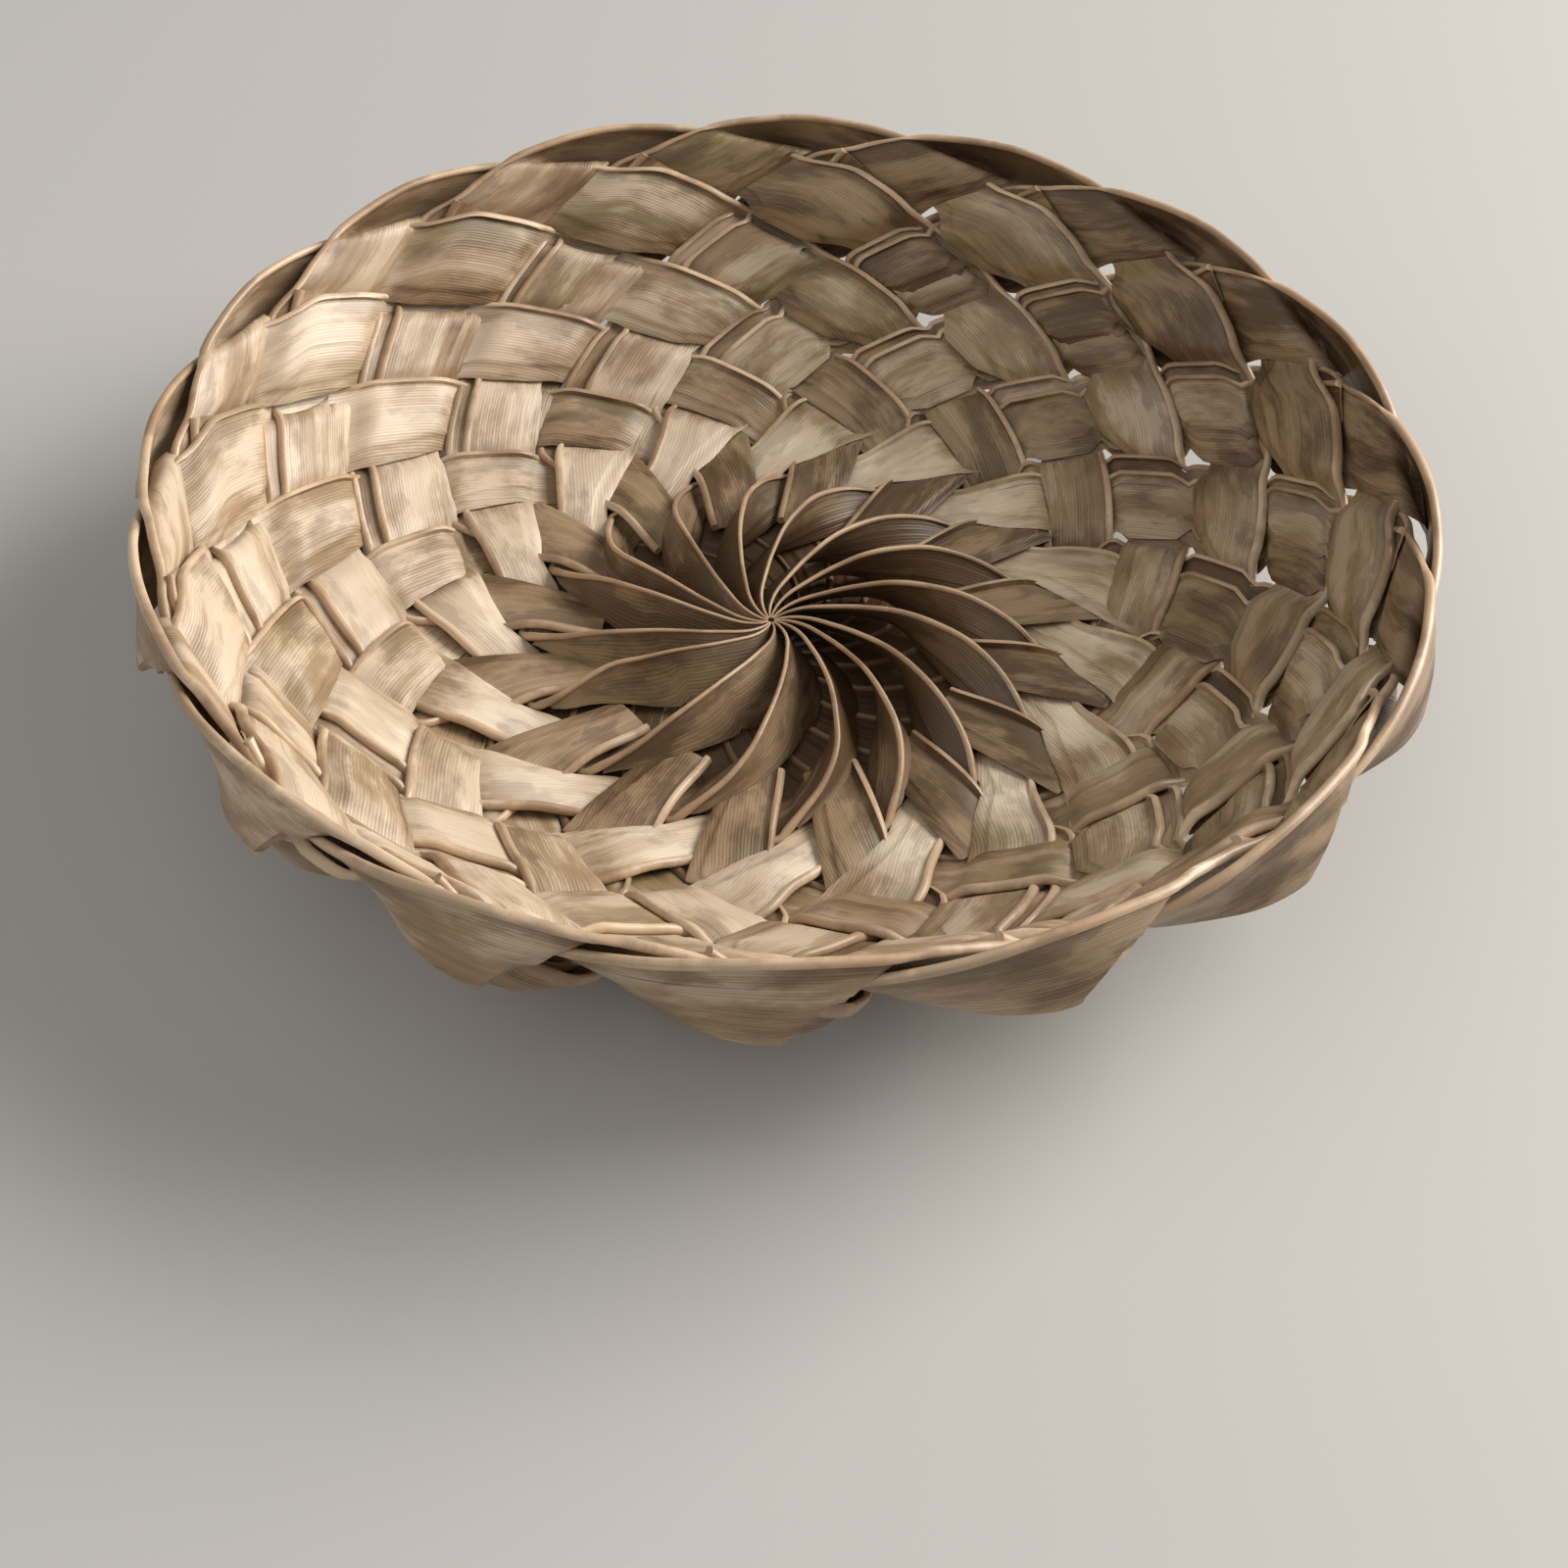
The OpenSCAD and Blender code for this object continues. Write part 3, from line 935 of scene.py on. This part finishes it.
def fibre_group() -> bpy.types.NodeTree:
    """Draws the veins and fibres that run along a leaf.

    Returns:
        A group that puts out their height, a streak of lighter and darker, and fine cracks.
    """
    group, s, source, sink = node_group(
        "leaf_fibres", {"Veins": 1600.0, "Drift": 0.0}, ["Height", "Streak", "Crack"])
    place = s.add("UVMap", uv_map="leaf")
    parts = s.add("SeparateXYZ", {0: place.outputs[0]})
    along, across = parts.outputs[0], parts.outputs[1]
    wander = s.add("TexNoise", {"Vector": s.add("CombineXYZ", {
        0: s.maths("MULTIPLY", along, 9.0), 1: s.maths("MULTIPLY", across, 40.0),
        2: source.outputs["Drift"]}).outputs[0], "Scale": 1.0, "Detail": 1.0})
    bent = s.maths("ADD", across, s.maths("MULTIPLY", wander.outputs[0], 0.0010))
    fine = s.add("TexNoise", {"Vector": s.add("CombineXYZ", {
        0: s.maths("MULTIPLY", along, 7.0),
        1: s.maths("MULTIPLY", bent, source.outputs["Veins"]),
        2: source.outputs["Drift"]}).outputs[0], "Scale": 1.0, "Detail": 3.0,
        "Roughness": 0.65})
    broad = s.add("TexNoise", {"Vector": s.add("CombineXYZ", {
        0: s.maths("MULTIPLY", along, 5.0), 1: s.maths("MULTIPLY", bent, 300.0),
        2: s.maths("ADD", source.outputs["Drift"], 5.0)}).outputs[0],
        "Scale": 1.0, "Detail": 2.0})
    vein = s.maths("SINE", s.maths("MULTIPLY", bent, 7400.0))
    height = s.maths("ADD", s.maths("MULTIPLY", fine.outputs[0], 0.5),
                     s.maths("ADD", s.maths("MULTIPLY", broad.outputs[0], 0.5),
                             s.maths("MULTIPLY", vein, 0.09)))
    grain = s.maths("ADD", s.maths("MULTIPLY", fine.outputs[0], 0.72),
                    s.maths("MULTIPLY", broad.outputs[0], 0.28))
    streak = s.span(s.maths("ADD", grain, s.maths("MULTIPLY", vein, 0.08)), 0.32, 0.68)
    s.put(sink.inputs["Height"], height)
    s.put(sink.inputs["Streak"], streak)
    s.put(sink.inputs["Crack"], s.span(broad.outputs[0], 0.69, 0.73))
    return group


def stain_group() -> bpy.types.NodeTree:
    """Draws the weathering of a leaf, drawn out along it.

    Returns:
        A group that puts out dark blotches, more of them beside the rib, slow changes of hue, and
        clouds of tone.
    """
    group, s, source, sink = node_group(
        "leaf_stains", {"Size": 1.0, "Drift": 0.0}, ["Blotch", "Hue", "Cloud"])
    parts = s.add("SeparateXYZ", {0: s.add("UVMap", uv_map="leaf").outputs[0]})

    def cloud(long: float, wide: float, seed: float, detail: float) -> bpy.types.NodeSocket:
        """Noise with its own scale along and across the leaf.

        Args:
            long: its scale along the leaf.
            wide: its scale across.
            seed: added to the group's own drift.
            detail: octaves of the noise.

        Returns:
            Its value.
        """
        size = source.outputs["Size"]
        spot = s.add("CombineXYZ", {
            0: s.maths("MULTIPLY", s.maths("MULTIPLY", parts.outputs[0], long), size),
            1: s.maths("MULTIPLY", s.maths("MULTIPLY", parts.outputs[1], wide), size),
            2: s.maths("ADD", source.outputs["Drift"], seed)})
        return s.add("TexNoise", {"Vector": spot.outputs[0], "Scale": 1.0, "Detail": detail,
                                  "Roughness": 0.6, "Distortion": 0.15}).outputs[0]

    # Dark blotches gather within a few millimetres of the rib line and thin out past about
    # thirteen.
    near_rib = s.span(parts.outputs[1], 0.004, 0.013, 0.075, -0.03)
    s.put(sink.inputs["Blotch"], s.span(s.maths(
        "ADD", cloud(60.0, 120.0, 1.0, 7.0), near_rib), 0.53, 0.64))
    s.put(sink.inputs["Hue"], s.span(cloud(18.0, 45.0, 9.0, 2.0), 0.46, 0.72))
    s.put(sink.inputs["Cloud"], s.span(cloud(30.0, 75.0, 17.0, 6.0), 0.38, 0.60))
    return group


@dataclass(frozen=True)
class BladeFinish:
    """Dry palm leaf: straw to olive brown, with fibres, blotches and a satin face.

    The face goes from dark over middle or olive and light to pale as its tone rises.
    """

    name: str = "dry_palm_blade"
    dark: Colour = (0.105, 0.060, 0.026, 1)
    middle: Colour = (0.335, 0.224, 0.128, 1)
    light: Colour = (0.620, 0.490, 0.355, 1)
    pale: Colour = (0.820, 0.700, 0.545, 1)
    olive: Colour = (0.290, 0.212, 0.108, 1)
    blotch: Colour = (0.118, 0.072, 0.044, 1)
    cloud_share: float = 0.42
    crack_share: float = 0.6
    roughness: float = 0.41
    specular: float = 0.45
    relief: float = 0.00036
    bump: float = 0.5

    def make(self, fibres: bpy.types.NodeTree, stains: bpy.types.NodeTree) -> bpy.types.Material:
        """Builds the material.

        Args:
            fibres: the group that draws fibres.
            stains: the group that draws stains.

        Returns:
            The material.
        """
        material = bpy.data.materials.new(self.name)
        material.use_nodes = True
        s = Recipe(material.node_tree)
        shader = material.node_tree.nodes["Principled BSDF"]
        # The tone holds the leaf's own lightness plus the painted light and shade that slope
        # across the basket; the hidden tails are painted dark as shade.
        tone = s.add("Attribute", attribute_name="tone").outputs["Fac"]
        fibre = s.add("Group", node_tree=fibres)
        stain = s.add("Group", node_tree=stains)
        level = s.maths("ADD", tone, s.maths("MULTIPLY", s.maths(
            "SUBTRACT", stain.outputs["Cloud"], 0.5), self.cloud_share))
        level = s.maths("ADD", level, s.maths("MULTIPLY", s.maths(
            "SUBTRACT", fibre.outputs["Streak"], 0.5), s.span(tone, 0.0, 0.8, 0.13, 0.22)))
        low = s.mix(s.span(level, 0.0, 0.5), self.dark, s.mix(
            stain.outputs["Hue"], self.middle, self.olive))
        colour = s.mix(s.span(level, 0.45, 1.0), low, self.light)
        colour = s.mix(s.span(level, 1.0, 1.4, 0.0, 0.8), colour, self.pale)
        mark = s.maths("MULTIPLY", stain.outputs["Blotch"], s.span(tone, 0.9, 0.2, 0.30, 0.6))
        colour = s.mix(mark, colour, self.blotch)
        crack = s.maths("MULTIPLY", fibre.outputs["Crack"], self.crack_share)
        colour = s.mix(crack, colour, self.dark)
        s.put(shader.inputs["Base Color"], colour)
        s.put(shader.inputs["Roughness"], s.span(
            fibre.outputs["Streak"], 0.0, 1.0, self.roughness + 0.1, self.roughness - 0.04))
        bump = s.add("Bump", {"Height": fibre.outputs["Height"], "Distance": self.relief,
                              "Strength": self.bump})
        s.put(shader.inputs["Normal"], bump.outputs[0])
        shader.inputs["Specular IOR Level"].default_value = self.specular
        return material


@dataclass(frozen=True)
class RibFinish:
    """The smooth rib along a leaf's edge: tan, with cream stretches where the leaf's tone is high,
    in part painted light, and brown as painted shade where the tone falls below nought.
    """

    name: str = "dry_palm_rib"
    tan: Colour = (0.480, 0.315, 0.190, 1)
    cream: Colour = (0.740, 0.565, 0.385, 1)
    brown: Colour = (0.200, 0.118, 0.060, 1)
    roughness: float = 0.36
    specular: float = 0.5
    relief: float = 0.0001
    bump: float = 0.25

    def make(self, fibres: bpy.types.NodeTree, stains: bpy.types.NodeTree) -> bpy.types.Material:
        """Builds the material.

        Args:
            fibres: the group that draws fibres.
            stains: the group that draws stains.

        Returns:
            The material.
        """
        material = bpy.data.materials.new(self.name)
        material.use_nodes = True
        s = Recipe(material.node_tree)
        shader = material.node_tree.nodes["Principled BSDF"]
        fibre = s.add("Group", {"Veins": 2400.0, "Drift": 3.0}, node_tree=fibres)
        stain = s.add("Group", {"Size": 0.6, "Drift": 4.0}, node_tree=stains)
        tone = s.add("Attribute", attribute_name="tone").outputs["Fac"]
        # The cream grows with the tone, so on the left it is partly painted light from the tone's
        # slope.
        share = s.maths("MULTIPLY", stain.outputs["Cloud"], s.span(tone, 0.1, 0.5, 0.3, 1.0))
        colour = s.mix(share, self.tan, self.cream)
        colour = s.mix(s.maths("MULTIPLY", stain.outputs["Blotch"], 0.5), colour, self.brown)
        # Painted shade: the rib turns brown where the tone falls below nought, on the tails under
        # the base and where the slope darkens the right.
        colour = s.mix(s.span(tone, 0.0, -0.1, 0.0, 0.9), colour, self.brown)
        colour = s.mix(s.maths("MULTIPLY", fibre.outputs["Streak"], 0.15), colour, self.brown)
        s.put(shader.inputs["Base Color"], colour)
        shader.inputs["Roughness"].default_value = self.roughness
        bump = s.add("Bump", {"Height": fibre.outputs["Height"], "Distance": self.relief,
                              "Strength": self.bump})
        s.put(shader.inputs["Normal"], bump.outputs[0])
        shader.inputs["Specular IOR Level"].default_value = self.specular
        return material


# ---- Studio ---------------------------------------------------------------------------------


@dataclass(frozen=True)
class Lamp:
    """A square soft lamp: where it stands in metres, its power in watts and its side."""

    name: str
    place: Triple
    power: float
    size: float
    colour: Triple = (1.0, 0.985, 0.96)

    def build(self, aim: Vector) -> None:
        """Adds the lamp, facing a point.

        Args:
            aim: the point.
        """
        light = bpy.data.lights.new(self.name, "AREA")
        light.energy, light.size, light.color = self.power, self.size, self.colour
        lamp = bpy.data.objects.new(self.name, light)
        lamp.location = self.place
        lamp.rotation_euler = (aim - Vector(self.place)).to_track_quat("-Z", "Y").to_euler()
        bpy.context.scene.collection.objects.link(lamp)


@dataclass
class Studio:
    """A plain pale floor, soft light and the camera."""

    floor_size: float = 9.0
    floor_colour: Colour = (0.52, 0.508, 0.488, 1)
    floor_roughness: float = 0.55
    lamps: tuple[Lamp, ...] = (
        Lamp("window", (1.95, 0.84, 1.15), 106.0, 1.80, (1.0, 0.97, 0.925)),
        Lamp("ceiling", (-0.45, -0.25, 1.55), 3.0, 1.50),
        Lamp("fill", (-0.4, -0.9, 1.0), 2.0, 0.9),
        Lamp("left", (-1.5, -0.35, 0.75), 4.5, 1.2),
    )
    aim: Triple = (0.0, 0.0, 0.02)
    room_colour: Colour = (1.0, 0.985, 0.96, 1)
    room_strength: float = 0.19
    eye: Triple = (0.001889, -0.370387, 0.359370)
    ahead: Triple = (0.0, 0.672928, -0.739708)
    right: Triple = (0.998997, 0.033120, 0.030130)
    lens: float = 48.375

    def build(self) -> None:
        """Makes the floor, the lamps, the world and the camera."""
        self.lay_floor()
        for lamp in self.lamps:
            lamp.build(Vector(self.aim))
        self.light_room()
        self.place_camera()
        bpy.context.scene.view_settings.view_transform = "Standard"

    def lay_floor(self) -> None:
        """Makes the floor."""
        bm = bmesh.new()
        bmesh.ops.create_grid(bm, x_segments=1, y_segments=1, size=self.floor_size / 2)
        mesh = bpy.data.meshes.new("floor")
        bm.to_mesh(mesh)
        bm.free()
        paint = bpy.data.materials.new("pale_floor")
        paint.use_nodes = True
        shader = paint.node_tree.nodes["Principled BSDF"]
        shader.inputs["Base Color"].default_value = self.floor_colour
        shader.inputs["Roughness"].default_value = self.floor_roughness
        mesh.materials.append(paint)
        floor = bpy.data.objects.new("floor", mesh)
        bpy.context.scene.collection.objects.link(floor)

    def light_room(self) -> None:
        """Makes the world, which lights every side a little."""
        world = bpy.data.worlds.new("room")
        world.use_nodes = True
        back = world.node_tree.nodes["Background"]
        back.inputs["Color"].default_value = self.room_colour
        back.inputs["Strength"].default_value = self.room_strength
        bpy.context.scene.world = world

    def place_camera(self) -> None:
        """Makes the camera, from its eye and the directions ahead and to the right."""
        camera = bpy.data.cameras.new("camera")
        camera.lens, camera.sensor_width = self.lens, 36.0
        camera.clip_start, camera.clip_end = 0.01, 50.0
        holder = bpy.data.objects.new("camera", camera)
        bpy.context.scene.collection.objects.link(holder)
        ahead, right = Vector(self.ahead), Vector(self.right)
        up = right.cross(ahead)
        pose = Matrix((right, up, -ahead)).transposed().to_4x4()
        pose.translation = Vector(self.eye)
        holder.matrix_world = pose
        bpy.context.scene.camera = holder


def main() -> None:
    """Builds the basket leaf by leaf, then the studio."""
    logging.basicConfig(level=logging.INFO, format="%(name)s: %(message)s")
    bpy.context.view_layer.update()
    fibres, stains = fibre_group(), stain_group()
    blade = BladeFinish().make(fibres, stains)
    rib = RibFinish().make(fibres, stains)
    for number in range(1, LEAVES + 1):
        RimLeaf(number=number).build(blade, rib)
        FinLeaf(number=number).build(blade, rib)
    Studio().build()


if __name__ == "__main__":
    main()
